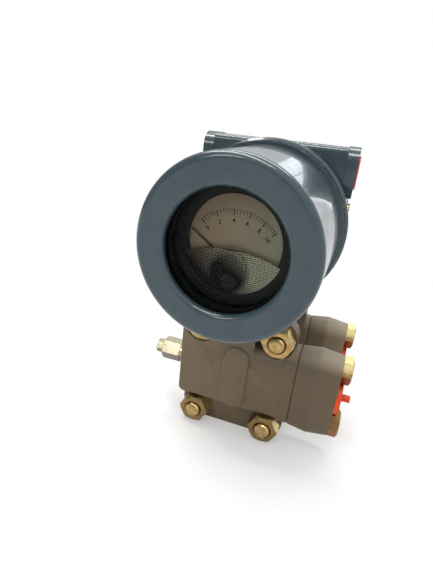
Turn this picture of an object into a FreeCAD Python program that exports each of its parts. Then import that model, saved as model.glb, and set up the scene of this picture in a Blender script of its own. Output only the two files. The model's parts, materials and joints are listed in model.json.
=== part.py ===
import FreeCAD, Part
import os
from math import cos, pi, radians, sin, sqrt, tan

# Differential pressure transmitter: two process flanges clamp a round sensor cell, flange
# adapters close the +X ends, and a swivelling electronics housing with an analogue meter
# stands on the cell's neck.  Millimetres, +Z up, the meter looks along -Y.
# The origin is on the standing surface, under the neck axis.

# ---- driving dimensions -------------------------------------------------------------
# Sensor cell and neck
CELL_RADIUS = 36.5
CELL_HALF_WIDTH = 16.0
CELL_RIM_RECESS = 1.2
CELL_RIM_LENGTH = 3.0
CELL_GROOVE_HALF_WIDTH = 7.2
CELL_GROOVE_DEPTH = 2.5
CELL_GROOVE_SLOPE = 1.5
NECK_RADIUS = 11.0
NECK_ENGAGEMENT = 3.5
WIRE_HOLE_RADIUS = 5.0
WIRE_HOLE_DEPTH = 30.0
DIAPHRAGM_RADIUS = 24.0
DIAPHRAGM_THICKNESS = 0.4
DIAPHRAGM_DEPTH = 1.2
DIAPHRAGM_STEPS = 8
DIAPHRAGM_WAVE = 0.35

# Process flanges
BOLT_HALF_X = 26.3
BOLT_HALF_Z = 34.2
LOBE_RADIUS = 12.0
PLATE_THICKNESS = 11.5
FLANGE_THICKNESS = 22.0
BLOCK_HALF_HEIGHT = 26.0
BLOCK_EDGE_RADIUS = 8.0
BLOCK_LEFT = -39.5
BLOCK_RIGHT = 41.6
BLOCK_END_RADIUS = 9.0
SHOULDER_RIGHT = 12.0
SHOULDER_BOTTOM = -10.0
SHOULDER_TOP = 36.0
SHOULDER_EDGE_RADIUS = 4.0
SHOULDER_END_RADIUS = 3.0
SPOTFACE_RADIUS = 11.6
RIB_X = 1.0
RIB_RISE = 1.2
RIB_HALF_LENGTH = 23.2
RIB_HALF_WIDTH = 9.2
RIB_HEIGHT = 2.6
RIB_EDGE_RADIUS = 1.8
CROSS_PAD_HALF_LENGTH = 19.6
CROSS_PAD_HALF_WIDTH = 10.2
CROSS_PAD_HEIGHT = 0.7
CROSS_PAD_EDGE_RADIUS = 0.5
CHAMBER_RADIUS = 25.0
CHAMBER_DEPTH = 1.5
SEAL_GROOVE_RADIUS = 29.0
SEAL_GROOVE_WIDTH = 3.4
SEAL_GROOVE_DEPTH = 2.0
PORT_SPACING = 54.0
PORT_RISE = 1.5
PORT_RADIUS = 5.6
PORT_DEPTH = 34.0
CROSS_HOLE_RADIUS = 2.5

# Fasteners, 7/16-20 bolts and heavy nuts
BOLT_RADIUS = 5.5
BOLT_HOLE_CLEARANCE = 0.3
NUT_ACROSS_FLATS = 19.0
NUT_HEIGHT = 12.2
BOLT_HEAD_ACROSS_FLATS = 16.0
BOLT_HEAD_HEIGHT = 7.2
BOLT_END_PROUD = 2.3
NUT_COUNTERSINK = 1.0
HEX_FACE_SHARE = 0.94
HEX_CHAMFER_ANGLE = 32.0

# Flange adapters and their plugs
ADAPTER_BOLT_SPACING = 42.0
ADAPTER_LENGTH = 28.0
ADAPTER_PARTING = 13.4
ADAPTER_SEAM_SIZE = (10.9, 29.5)
ADAPTER_MIDDLE_SIZE = (12.8, 31.2)
ADAPTER_END_SIZE = (11.4, 29.2)
ADAPTER_CORNER_INSET = 2.0
SEAM_CHAMFER = 0.8
PAD_LENGTH = 8.0
ADAPTER_PORT_RADIUS = 9.4
ADAPTER_PORT_DEPTH = 18.0
ADAPTER_BOLT_ENGAGEMENT = 8.0
ADAPTER_HEAD_ACROSS_FLATS = 16.6
ADAPTER_HEAD_HEIGHT = 6.4
ADAPTER_SEAL_RADIUS = 8.6
PLUG_CAP_RADIUS = 12.0
PLUG_CAP_HEIGHT = 3.2
PLUG_GRIP_HEIGHT = 6.0
PLUG_GRIP_WIDTH = 4.0
PLUG_GRIP_EDGE_RADIUS = 0.9
PLUG_WALL = 1.8
PLUG_LENGTH = 12.0

# Drain and vent valves on the -X ends
VENT_RISE = 4.0
VENT_SEAT_RADIUS = 5.2
VENT_COLLAR_RADIUS = 7.0
VENT_COLLAR_LENGTH = 3.4
VENT_HEX_ACROSS_FLATS = 14.4
VENT_HEX_LENGTH = 14.2
VENT_THREAD_LENGTH = 12.0
VENT_STEM_RADIUS = 3.2
VENT_STEM_HEX = 8.8
VENT_STEM_PROUD = 5.4
VENT_STEM_DEPTH = 14.0

# Housing, on its own axis along Y above the cell
HOUSING_FRONT = -13.8
HOUSING_REAR = 42.0
HOUSING_RADIUS = 49.0
HOUSING_RIM_STEP = 1.9
HOUSING_RIM_LENGTH = 10.5
HOUSING_REAR_RIM_LENGTH = 8.0
HOUSING_WALL = 4.5
DIVIDER_Y = 2.0
DIVIDER_THICKNESS = 4.0
COVER_THREAD_RADIUS = 46.2
COVER_THREAD_LENGTH = 11.0
THREAD_CHAMFER = 1.0
NECK_BOSS_RADIUS = 17.0
NECK_BOSS_PROUD = 0.2
LOCK_NUT_ACROSS_FLATS = 34.0
LOCK_NUT_HEIGHT = 3.6
LOCK_NUT_LIFT = 0.4

# Conduit bar across the top of the housing
CONDUIT_RISE = 37.7
CONDUIT_Y = 18.6
CONDUIT_BOSS_RADIUS = 16.3
CONDUIT_COLLAR_LENGTH = 7.2
CONDUIT_HALF_LENGTH = 51.4
CONDUIT_STEP = 0.7
CONDUIT_BORE_RADIUS = 9.6
CONDUIT_THREAD_LENGTH = 20.0
CONDUIT_PASSAGE_RADIUS = 8.2
CONDUIT_PLUG_LENGTH = 15.0
CONDUIT_PLUG_RIM = 1.0
CONDUIT_PLUG_RIM_RADIUS = 10.8

# Meter cover with its window
COVER_FRONT = -96.6
COVER_FACE_RADIUS = 47.2
COVER_BAND_RADIUS = 52.1
COVER_BAND_LENGTH = 9.4
COVER_BAND_RIM = 1.3
COVER_BAND_STEP = 0.4
COVER_BAND_DEPTH = 2.0
COVER_POCKET_DEPTH = 2.4
COVER_RIB_COUNT = 24
COVER_RIB_WIDTH = 2.2
COVER_EDGE_RADIUS = 3.8
COVER_WALL = 4.8
WINDOW_RADIUS = 31.4
WINDOW_EDGE_RADIUS = 2.8
WINDOW_LIP = 3.6
GLASS_RADIUS = 36.5
GLASS_THICKNESS = 5.0
GASKET_THICKNESS = 1.2
RETAINER_THICKNESS = 3.0
RETAINER_WIDTH = 5.0

# Terminal cover at the back
REAR_COVER_LENGTH = 23.0
REAR_COVER_WALL = 3.0
REAR_COVER_DISH = 1.5
DISH_RIM_WIDTH = 7.3

# O-ring under each cover
COVER_SEAL_SECTION = 1.3

# Meter
METER_RISE = 1.5
METER_PLANE = -76.0
METER_CASE_RADIUS = 34.0
METER_CASE_DEPTH = 24.0
METER_CASE_WALL = 1.6
DIAL_THICKNESS = 0.8
BEZEL_THICKNESS = 3.0
BEZEL_BORE_RADIUS = 25.3
EAR_REACH = 38.5
EAR_HALF_HEIGHT = 3.2
SHROUD_CROWN = -3.2
SHROUD_ARCH_RADIUS = 72.0
SHROUD_RADIUS = 27.0
SHROUD_THICKNESS = 1.0
DOME_RADIUS = 8.8
DOME_HEIGHT = 1.4
PIVOT_DROP = 11.9
POINTER_LENGTH = 28.8
POINTER_TAIL = 8.0
POINTER_REST_ANGLE = -56.0
POINTER_STANDOFF = 1.1
POINTER_THICKNESS = 0.5
POINTER_TIP_WIDTH = 0.5
POINTER_ROOT_WIDTH = 1.4
POINTER_HUB_RADIUS = 2.2
POINTER_WEIGHT_RADIUS = 1.8
STAFF_RADIUS = 1.0
CORE_RADIUS = 6.4
COIL_RADIUS = 8.8
COIL_BAR = 1.6
MAGNET_INNER_RADIUS = 9.8
MAGNET_OUTER_RADIUS = 15.5
MAGNET_LENGTH = 12.0
ZERO_SCREW_DROP = 20.2
ZERO_SCREW_RADIUS = 4.3
ZERO_SCREW_PROUD = 1.2
METER_POST_RADIUS = 3.0
METER_POST_CIRCLE = 27.0

# Electronics behind the meter and terminals behind the divider
BOARD_RADIUS = 38.0
BOARD_THICKNESS = 1.6
BOARD_GAP = 12.0
BOARD_POST_CIRCLE = 33.0
TERMINAL_BLOCK_SIZE = (44.0, 12.0, 22.0)
TERMINAL_SCREW_SPACING = 11.0
TERMINAL_SCREW_RADIUS = 3.2
BARRIER_THICKNESS = 1.4
BARRIER_HEIGHT = 4.0
SIDE_SCREW_RADIUS = 2.6
SIDE_SCREW_SHANK_RADIUS = 1.6
SIDE_BOSS_RADIUS = 4.4
SIDE_BOSS_PROUD = 0.8
SIDE_SCREW_Y = 10.0
SIDE_SCREW_RISE = 16.0

# Clearances
RUNNING_FIT = 0.05
LOOSE_FIT = 0.3
SEAT_GAP = 0.1

# Longer than anything here, for cuts that run right through
REACH = 400.0

# ---- sizes that follow ----------------------------------------------------------------
CELL_Z = BOLT_HALF_Z + LOBE_RADIUS
FLANGE_TOP = CELL_Z + BOLT_HALF_Z + LOBE_RADIUS
BOSS_BOTTOM = FLANGE_TOP + LOCK_NUT_LIFT + LOCK_NUT_HEIGHT + SEAT_GAP
HOUSING_RIM_RADIUS = COVER_BAND_RADIUS + HOUSING_RIM_STEP
NECK_BOSS_DROP = HOUSING_RIM_RADIUS + NECK_BOSS_PROUD
HOUSING_Z = BOSS_BOTTOM + NECK_BOSS_DROP
PORT_Y = PORT_SPACING / 2
PORT_Z = CELL_Z + PORT_RISE
METER_Z = HOUSING_Z + METER_RISE
PIVOT_Z = METER_Z - PIVOT_DROP
COVER_SHOULDER = HOUSING_FRONT - COVER_SEAL_SECTION / 2
REAR_SHOULDER = HOUSING_REAR + COVER_SEAL_SECTION / 2
INNER_FACE = CELL_HALF_WIDTH
OUTER_FACE = CELL_HALF_WIDTH + FLANGE_THICKNESS
SEAT_FACE = CELL_HALF_WIDTH + PLATE_THICKNESS
X, Y, Z = FreeCAD.Vector(1, 0, 0), FreeCAD.Vector(0, 1, 0), FreeCAD.Vector(0, 0, 1)


def vec(x, y, z):
    return FreeCAD.Vector(x, y, z)


def cyl(radius, length, base, axis):
    return Part.makeCylinder(radius, length, base, axis)


def ring(outer, inner, length, base, axis):
    return cyl(outer, length, base, axis).cut(cyl(inner, length, base, axis))


def turned(profile, origin):
    """Solid of revolution about the Y line through origin from (y, radius) points."""
    points = [vec(0, y, r) for y, r in profile]
    face = Part.Face(Part.makePolygon(points + points[:1]))
    return face.revolve(vec(0, 0, 0), Y, 360).translated(origin)


def rounded_rectangle(half_a, half_b, radius):
    """Closed wire in the XY plane, centred on the origin."""
    a, b, r = half_a, half_b, radius
    k = r * (1 - sqrt(0.5))
    corners = [((a - r, -b), (a - k, -b + k), (a, -b + r)),
               ((a, b - r), (a - k, b - k), (a - r, b)),
               ((-a + r, b), (-a + k, b - k), (-a, b - r)),
               ((-a, -b + r), (-a + k, -b + k), (-a + r, -b))]
    edges = []
    for i, corner in enumerate(corners):
        start, middle, end = [vec(px, py, 0) for px, py in corner]
        edges.append(Part.Arc(start, middle, end).toShape())
        following = vec(*corners[(i + 1) % 4][0], 0)
        if (following - end).Length > 1e-6:
            edges.append(Part.makeLine(end, following))
    return Part.Wire(edges)


def along_x(wire, x, y, z):
    """Place an XY wire in the YZ plane: its first axis runs along Y, its second along Z."""
    placed = wire.copy()
    placed.Placement = FreeCAD.Placement(vec(x, y, z), FreeCAD.Rotation(Y, Z, X))
    return placed


def along_y(wire, x, y, z):
    """Place an XY wire in the XZ plane: its first axis runs along X, its second along Z."""
    placed = wire.copy()
    placed.Placement = FreeCAD.Placement(vec(x, y, z), FreeCAD.Rotation(X, Z, -Y))
    return placed


def hexagon(across_flats, turn=0.0):
    """Closed hexagon in the XY plane with a flat towards +Y."""
    corner = across_flats / sqrt(3)
    points = [vec(corner * cos(radians(60 * i + turn)), corner * sin(radians(60 * i + turn)), 0)
              for i in range(7)]
    return Part.makePolygon(points)


def hex_prism_y(across_flats, y0, y1, x, z):
    low, high = min(y0, y1), max(y0, y1)
    return Part.Face(along_y(hexagon(across_flats), x, low, z)).extrude(Y * (high - low))


def hex_prism_x(across_flats, x0, x1, y, z):
    low, high = min(x0, x1), max(x0, x1)
    return Part.Face(along_x(hexagon(across_flats), low, y, z)).extrude(X * (high - low))


def chamfered_hex(prism, across_flats, base, axis, length):
    """Round off the corners of a hexagon at its outer end, as nuts and heads are."""
    corner = across_flats / sqrt(3)
    face = across_flats / 2 * HEX_FACE_SHARE
    drop = (corner - face) * tan(radians(HEX_CHAMFER_ANGLE))
    sleeve = cyl(corner, length - drop, base, axis)
    cap = Part.makeCone(corner, face, drop, base + axis * (length - drop), axis)
    return prism.common(sleeve.fuse(cap))


def round_edges(shape, radius, y):
    """The circular edges of a turned shape with this radius, at this place along Y."""
    return [e for e in shape.Edges if hasattr(e.Curve, "Radius")
            and abs(e.Curve.Radius - radius) < 0.01 and abs(e.Curve.Center.y - y) < 0.01]


def mirrored(shape):
    return shape.mirror(vec(0, 0, 0), Y)


def four_corners():
    return [(sx * BOLT_HALF_X, sz * BOLT_HALF_Z) for sx in (-1, 1) for sz in (-1, 1)]


# ---- sensor cell ----------------------------------------------------------------------
def sensor_module():
    """Welded cell: a grooved disc between the flanges, with the neck that holds the housing."""
    half, radius, waist = CELL_HALF_WIDTH, CELL_RADIUS, CELL_GROOVE_HALF_WIDTH
    rim, floor = radius - CELL_RIM_RECESS, radius - CELL_GROOVE_DEPTH
    side = [(half, 0), (half, rim), (half - CELL_RIM_LENGTH, radius), (waist, radius),
            (waist - CELL_GROOVE_SLOPE, floor)]
    disc = turned([(-y, r) for y, r in side] + side[::-1], vec(0, 0, CELL_Z))
    neck_top = BOSS_BOTTOM + NECK_ENGAGEMENT
    neck = cyl(NECK_RADIUS, neck_top - CELL_Z, vec(0, 0, CELL_Z), Z)
    shape = disc.fuse(neck)
    for sign in (-1, 1):
        pocket = cyl(DIAPHRAGM_RADIUS, DIAPHRAGM_DEPTH + DIAPHRAGM_THICKNESS,
                     vec(0, sign * half, CELL_Z), Y * -sign)
        shape = shape.cut(pocket)
    return shape.cut(cyl(WIRE_HOLE_RADIUS, WIRE_HOLE_DEPTH,
                         vec(0, 0, neck_top - WIRE_HOLE_DEPTH), Z))


def diaphragm(side):
    """Thin corrugated isolating diaphragm, welded in the cell's pocket."""
    depth, step = DIAPHRAGM_THICKNESS, DIAPHRAGM_RADIUS / DIAPHRAGM_STEPS
    front, back = [(0.0, 0.0)], [(depth, 0.0)]
    for i in range(1, DIAPHRAGM_STEPS):
        wave = DIAPHRAGM_WAVE * (i % 2)
        front.append((wave, i * step))
        back.append((wave + depth, i * step))
    front.append((0.0, DIAPHRAGM_RADIUS))
    back.append((depth, DIAPHRAGM_RADIUS))
    seat = CELL_HALF_WIDTH - DIAPHRAGM_DEPTH - DIAPHRAGM_THICKNESS
    shape = turned(front + back[::-1], vec(0, seat, CELL_Z))
    return shape if side > 0 else mirrored(shape)


def lock_nut():
    """Hexagon nut on the neck, tightened against the housing's boss."""
    top = BOSS_BOTTOM - SEAT_GAP
    base = vec(0, 0, top - LOCK_NUT_HEIGHT)
    body = Part.Face(hexagon(LOCK_NUT_ACROSS_FLATS).translated(base))
    body = body.extrude(Z * LOCK_NUT_HEIGHT)
    body = chamfered_hex(body, LOCK_NUT_ACROSS_FLATS, base + Z * LOCK_NUT_HEIGHT, -Z,
                         LOCK_NUT_HEIGHT)
    return body.cut(cyl(NECK_RADIUS, LOCK_NUT_HEIGHT, base, Z))


# ---- process flanges --------------------------------------------------------------------
def flange_block(right, low, high, edge_radius, end_radius):
    """Block on the plate's left part, its long edges and its left end rounded."""
    half_z = (high - low) / 2
    middle_z = CELL_Z + (high + low) / 2
    length = right - BLOCK_LEFT
    section = rounded_rectangle(FLANGE_THICKNESS, half_z, edge_radius)
    block = Part.Face(along_x(section, BLOCK_LEFT, INNER_FACE, middle_z)).extrude(X * length)
    outline = rounded_rectangle(length / 2 + end_radius, half_z, end_radius)
    outline = Part.Face(along_y(outline, BLOCK_LEFT + length / 2 + end_radius, INNER_FACE,
                                middle_z))
    return block.common(outline.extrude(Y * FLANGE_THICKNESS))


def seam_section(x, inset):
    """Outline shared by the flange's pad and the adapter, at one place along X."""
    half_y, half_z = ADAPTER_SEAM_SIZE
    section = rounded_rectangle(half_y - inset, half_z - inset,
                                half_y - ADAPTER_CORNER_INSET - inset)
    return along_x(section, x, PORT_Y, PORT_Z)


def raised_pad(half_length, half_width, height, edge_radius):
    """Low pad with round ends on the flange's outer face, upright."""
    outline = rounded_rectangle(half_width, half_length, min(half_width, half_length) - 0.1)
    pad = Part.Face(along_y(outline, RIB_X, OUTER_FACE - 1, CELL_Z + RIB_RISE))
    pad = pad.extrude(Y * (height + 1))
    outer_edges = [e for e in pad.Edges if all(v.Point.y > OUTER_FACE for v in e.Vertexes)]
    return pad.makeFillet(edge_radius, outer_edges)


def flange_rear():
    """Cast process flange: bolted plate, thick ported block, raised rib and drilled ports."""
    plate = Part.Face(along_y(rounded_rectangle(BOLT_HALF_X + LOBE_RADIUS,
                                                BOLT_HALF_Z + LOBE_RADIUS, LOBE_RADIUS),
                              0, INNER_FACE, CELL_Z)).extrude(Y * PLATE_THICKNESS)
    block = flange_block(BLOCK_RIGHT, -BLOCK_HALF_HEIGHT, BLOCK_HALF_HEIGHT,
                         BLOCK_EDGE_RADIUS, BLOCK_END_RADIUS)
    shoulder = flange_block(SHOULDER_RIGHT, SHOULDER_BOTTOM, SHOULDER_TOP,
                            SHOULDER_EDGE_RADIUS, SHOULDER_END_RADIUS)
    pad = Part.Face(seam_section(BLOCK_RIGHT - PAD_LENGTH, 0)).extrude(X * PAD_LENGTH)
    shape = plate.fuse([block, shoulder, pad])
    shape = shape.fuse(raised_pad(RIB_HALF_LENGTH, RIB_HALF_WIDTH, RIB_HEIGHT, RIB_EDGE_RADIUS))
    shape = shape.fuse(raised_pad(CROSS_PAD_HALF_WIDTH, CROSS_PAD_HALF_LENGTH,
                                  CROSS_PAD_HEIGHT, CROSS_PAD_EDGE_RADIUS))
    chamfer_start = BLOCK_RIGHT - SEAM_CHAMFER
    end_slab = Part.makeBox(SEAM_CHAMFER, REACH, REACH,
                            vec(chamfer_start, -REACH / 2, -REACH / 2))
    chamfered_end = Part.makeLoft([seam_section(chamfer_start, -0.1),
                                   seam_section(BLOCK_RIGHT, SEAM_CHAMFER)], True, True)
    shape = shape.cut(end_slab.cut(chamfered_end))

    for x, z in four_corners():
        shape = shape.cut(cyl(SPOTFACE_RADIUS, REACH, vec(x, SEAT_FACE, CELL_Z + z), Y))
        shape = shape.cut(cyl(BOLT_RADIUS + BOLT_HOLE_CLEARANCE, REACH,
                              vec(x, 0, CELL_Z + z), Y))
    shape = shape.cut(cyl(CHAMBER_RADIUS, CHAMBER_DEPTH, vec(0, INNER_FACE, CELL_Z), Y))
    shape = shape.cut(ring(SEAL_GROOVE_RADIUS + SEAL_GROOVE_WIDTH / 2,
                           SEAL_GROOVE_RADIUS - SEAL_GROOVE_WIDTH / 2,
                           SEAL_GROOVE_DEPTH, vec(0, INNER_FACE, CELL_Z), Y))
    shape = shape.cut(cyl(PORT_RADIUS, PORT_DEPTH, vec(BLOCK_RIGHT, PORT_Y, PORT_Z), -X))
    cross_length = PORT_Y - INNER_FACE
    cross_x = BLOCK_RIGHT - PORT_DEPTH + PORT_RADIUS
    shape = shape.cut(cyl(CROSS_HOLE_RADIUS, cross_length,
                          vec(cross_x, INNER_FACE, PORT_Z), Y))
    for sz in (-1, 1):
        shape = shape.cut(cyl(BOLT_RADIUS, ADAPTER_BOLT_ENGAGEMENT + 0.5,
                              vec(BLOCK_RIGHT, PORT_Y, PORT_Z + sz * ADAPTER_BOLT_SPACING / 2),
                              -X))
    vent_z = CELL_Z + VENT_RISE
    shape = shape.cut(cyl(VENT_SEAT_RADIUS, VENT_THREAD_LENGTH,
                          vec(BLOCK_LEFT, PORT_Y, vent_z), X))
    shape = shape.cut(cyl(CROSS_HOLE_RADIUS, 12,
                          vec(BLOCK_LEFT + VENT_THREAD_LENGTH, PORT_Y, vent_z), X))
    return shape.cut(cyl(CROSS_HOLE_RADIUS, cross_length,
                         vec(BLOCK_LEFT + VENT_THREAD_LENGTH + 10, INNER_FACE, vent_z), Y))


def flange_oring(side):
    """Flattened seal that fills the flange's groove down to the cell's face."""
    width = SEAL_GROOVE_WIDTH - 0.4
    seal = ring(SEAL_GROOVE_RADIUS + width / 2, SEAL_GROOVE_RADIUS - width / 2,
                SEAL_GROOVE_DEPTH, vec(0, INNER_FACE, CELL_Z), Y)
    return seal if side > 0 else mirrored(seal)


def flange_bolt(x, z):
    """Long flange bolt: head behind the rear flange, domed end in front of the nut."""
    head_y = SEAT_FACE
    head = hex_prism_y(BOLT_HEAD_ACROSS_FLATS, head_y, head_y + BOLT_HEAD_HEIGHT, x, z)
    head = chamfered_hex(head, BOLT_HEAD_ACROSS_FLATS, vec(x, head_y, z), Y, BOLT_HEAD_HEIGHT)
    end_y = -SEAT_FACE - NUT_HEIGHT - BOLT_END_PROUD
    r = BOLT_RADIUS
    shank = turned([(head_y, 0), (head_y, r), (end_y + 1.4, r), (end_y + 0.5, r * 0.86),
                    (end_y, r * 0.62), (end_y, 0)], vec(x, 0, z))
    return head.fuse(shank)


def flange_nut(x, z):
    """Heavy hexagon nut with chamfered corners and a countersunk thread."""
    base = vec(x, -SEAT_FACE, z)
    body = hex_prism_y(NUT_ACROSS_FLATS, -SEAT_FACE - NUT_HEIGHT, -SEAT_FACE, x, z)
    body = chamfered_hex(body, NUT_ACROSS_FLATS, base, -Y, NUT_HEIGHT)
    body = body.cut(cyl(BOLT_RADIUS, NUT_HEIGHT, base, -Y))
    sink = Part.makeCone(BOLT_RADIUS, BOLT_RADIUS + NUT_COUNTERSINK, NUT_COUNTERSINK,
                         base - Y * (NUT_HEIGHT - NUT_COUNTERSINK), -Y)
    return body.cut(sink)


# ---- flange adapters --------------------------------------------------------------------
def adapter_rear():
    """Forged adapter, drafted both ways from its parting line, with a threaded port."""
    wires = [seam_section(BLOCK_RIGHT, SEAM_CHAMFER), seam_section(BLOCK_RIGHT + SEAM_CHAMFER, 0)]
    for x, (half_y, half_z) in ((ADAPTER_PARTING, ADAPTER_MIDDLE_SIZE),
                                (ADAPTER_LENGTH, ADAPTER_END_SIZE)):
        section = rounded_rectangle(half_y, half_z, half_y - ADAPTER_CORNER_INSET)
        wires.append(along_x(section, BLOCK_RIGHT + x, PORT_Y, PORT_Z))
    spans = [Part.makeLoft(wires[i:i + 2], True, True) for i in range(3)]
    shape = spans[0].fuse(spans[1:])
    end_x = BLOCK_RIGHT + ADAPTER_LENGTH
    shape = shape.cut(cyl(ADAPTER_PORT_RADIUS, ADAPTER_PORT_DEPTH,
                          vec(end_x, PORT_Y, PORT_Z), -X))
    shape = shape.cut(cyl(PORT_RADIUS, ADAPTER_LENGTH, vec(end_x, PORT_Y, PORT_Z), -X))
    shape = shape.cut(ring(ADAPTER_SEAL_RADIUS + 1.3, ADAPTER_SEAL_RADIUS - 1.3, 1.8,
                           vec(BLOCK_RIGHT, PORT_Y, PORT_Z), X))
    for sz in (-1, 1):
        shape = shape.cut(cyl(BOLT_RADIUS + BOLT_HOLE_CLEARANCE, ADAPTER_LENGTH,
                              vec(BLOCK_RIGHT, PORT_Y, PORT_Z + sz * ADAPTER_BOLT_SPACING / 2),
                              X))
    return shape


def adapter_seal(side):
    seal = ring(ADAPTER_SEAL_RADIUS + 1.1, ADAPTER_SEAL_RADIUS - 1.1, 1.8,
                vec(BLOCK_RIGHT, PORT_Y, PORT_Z), X)
    return seal if side > 0 else mirrored(seal)


def adapter_bolt(y, z):
    start = BLOCK_RIGHT + ADAPTER_LENGTH
    head = hex_prism_x(ADAPTER_HEAD_ACROSS_FLATS, start, start + ADAPTER_HEAD_HEIGHT, y, z)
    head = chamfered_hex(head, ADAPTER_HEAD_ACROSS_FLATS, vec(start, y, z), X,
                         ADAPTER_HEAD_HEIGHT)
    shank = cyl(BOLT_RADIUS, ADAPTER_LENGTH + ADAPTER_BOLT_ENGAGEMENT, vec(start, y, z), -X)
    return head.fuse(shank)


def port_plug(side):
    """Push-in shipping plug: hollow stem, thin cap and a pull tab."""
    start = BLOCK_RIGHT + ADAPTER_LENGTH
    centre = vec(start, PORT_Y, PORT_Z)
    stem = cyl(ADAPTER_PORT_RADIUS, PLUG_LENGTH, centre, -X)
    cap = cyl(PLUG_CAP_RADIUS, PLUG_CAP_HEIGHT, centre, X)
    tab = Part.makeBox(PLUG_GRIP_HEIGHT, PLUG_GRIP_WIDTH, PLUG_GRIP_WIDTH,
                       centre + vec(PLUG_CAP_HEIGHT, -PLUG_GRIP_WIDTH / 2, -PLUG_GRIP_WIDTH / 2))
    tab = tab.makeFillet(PLUG_GRIP_EDGE_RADIUS,
                         [e for e in tab.Edges if e.BoundBox.XLength > 1])
    hollow = cyl(ADAPTER_PORT_RADIUS - PLUG_WALL, PLUG_LENGTH + 1, centre - X * PLUG_LENGTH, X)
    shape = stem.fuse(cap).cut(hollow).fuse(tab)
    for sz in (-1, 1):
        clearance = cyl(ADAPTER_HEAD_ACROSS_FLATS / sqrt(3) + LOOSE_FIT, PLUG_CAP_HEIGHT,
                        centre + Z * (sz * ADAPTER_BOLT_SPACING / 2), X)
        shape = shape.cut(clearance)
    return shape if side > 0 else mirrored(shape)


# ---- drain and vent valves --------------------------------------------------------------
def vent_seat(side):
    """Valve body screwed into the flange: collar, hexagon and a bore for the stem."""
    z = CELL_Z + VENT_RISE
    start = vec(BLOCK_LEFT, PORT_Y, z)
    thread = cyl(VENT_SEAT_RADIUS, VENT_THREAD_LENGTH, start, X)
    collar = cyl(VENT_COLLAR_RADIUS, VENT_COLLAR_LENGTH, start, -X)
    hex_start = BLOCK_LEFT - VENT_COLLAR_LENGTH
    body = hex_prism_x(VENT_HEX_ACROSS_FLATS, hex_start - VENT_HEX_LENGTH, hex_start, PORT_Y, z)
    body = chamfered_hex(body, VENT_HEX_ACROSS_FLATS, vec(hex_start, PORT_Y, z), -X,
                         VENT_HEX_LENGTH)
    shape = thread.fuse(collar).fuse(body)
    outer_end = vec(hex_start - VENT_HEX_LENGTH, PORT_Y, z)
    shape = shape.cut(cyl(VENT_STEM_RADIUS + RUNNING_FIT, VENT_STEM_DEPTH + LOOSE_FIT,
                          outer_end, X))
    shape = shape.cut(cyl(CROSS_HOLE_RADIUS - 1, REACH, outer_end, X))
    return shape if side > 0 else mirrored(shape)


def vent_stem(side):
    """Valve stem with a small hexagon head and a coned seat end."""
    z = CELL_Z + VENT_RISE
    outer = BLOCK_LEFT - VENT_COLLAR_LENGTH - VENT_HEX_LENGTH - SEAT_GAP
    head = hex_prism_x(VENT_STEM_HEX, outer - VENT_STEM_PROUD, outer, PORT_Y, z)
    head = chamfered_hex(head, VENT_STEM_HEX, vec(outer, PORT_Y, z), -X, VENT_STEM_PROUD)
    stem = cyl(VENT_STEM_RADIUS, VENT_STEM_DEPTH - 2, vec(outer, PORT_Y, z), X)
    tip = Part.makeCone(VENT_STEM_RADIUS, 1.0, 2, vec(outer + VENT_STEM_DEPTH - 2, PORT_Y, z), X)
    shape = head.fuse(stem).fuse(tip)
    return shape if side > 0 else mirrored(shape)


# ---- electronics housing ----------------------------------------------------------------
def conduit_bar():
    """Bar across the top, flat in front, with a round threaded boss at each end."""
    z = HOUSING_Z + CONDUIT_RISE
    r = CONDUIT_BOSS_RADIUS
    inner = CONDUIT_HALF_LENGTH - CONDUIT_COLLAR_LENGTH
    section = rounded_rectangle(r - CONDUIT_STEP, r - CONDUIT_STEP, 4.0)
    bar = Part.Face(along_x(section, -inner, CONDUIT_Y, z)).extrude(X * 2 * inner)
    for side in (-1, 1):
        collar_section = rounded_rectangle(r, r, r * 0.62)
        low = inner if side > 0 else -CONDUIT_HALF_LENGTH
        collar = Part.Face(along_x(collar_section, low, CONDUIT_Y, z))
        bar = bar.fuse(collar.extrude(X * CONDUIT_COLLAR_LENGTH))
    return bar


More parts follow.
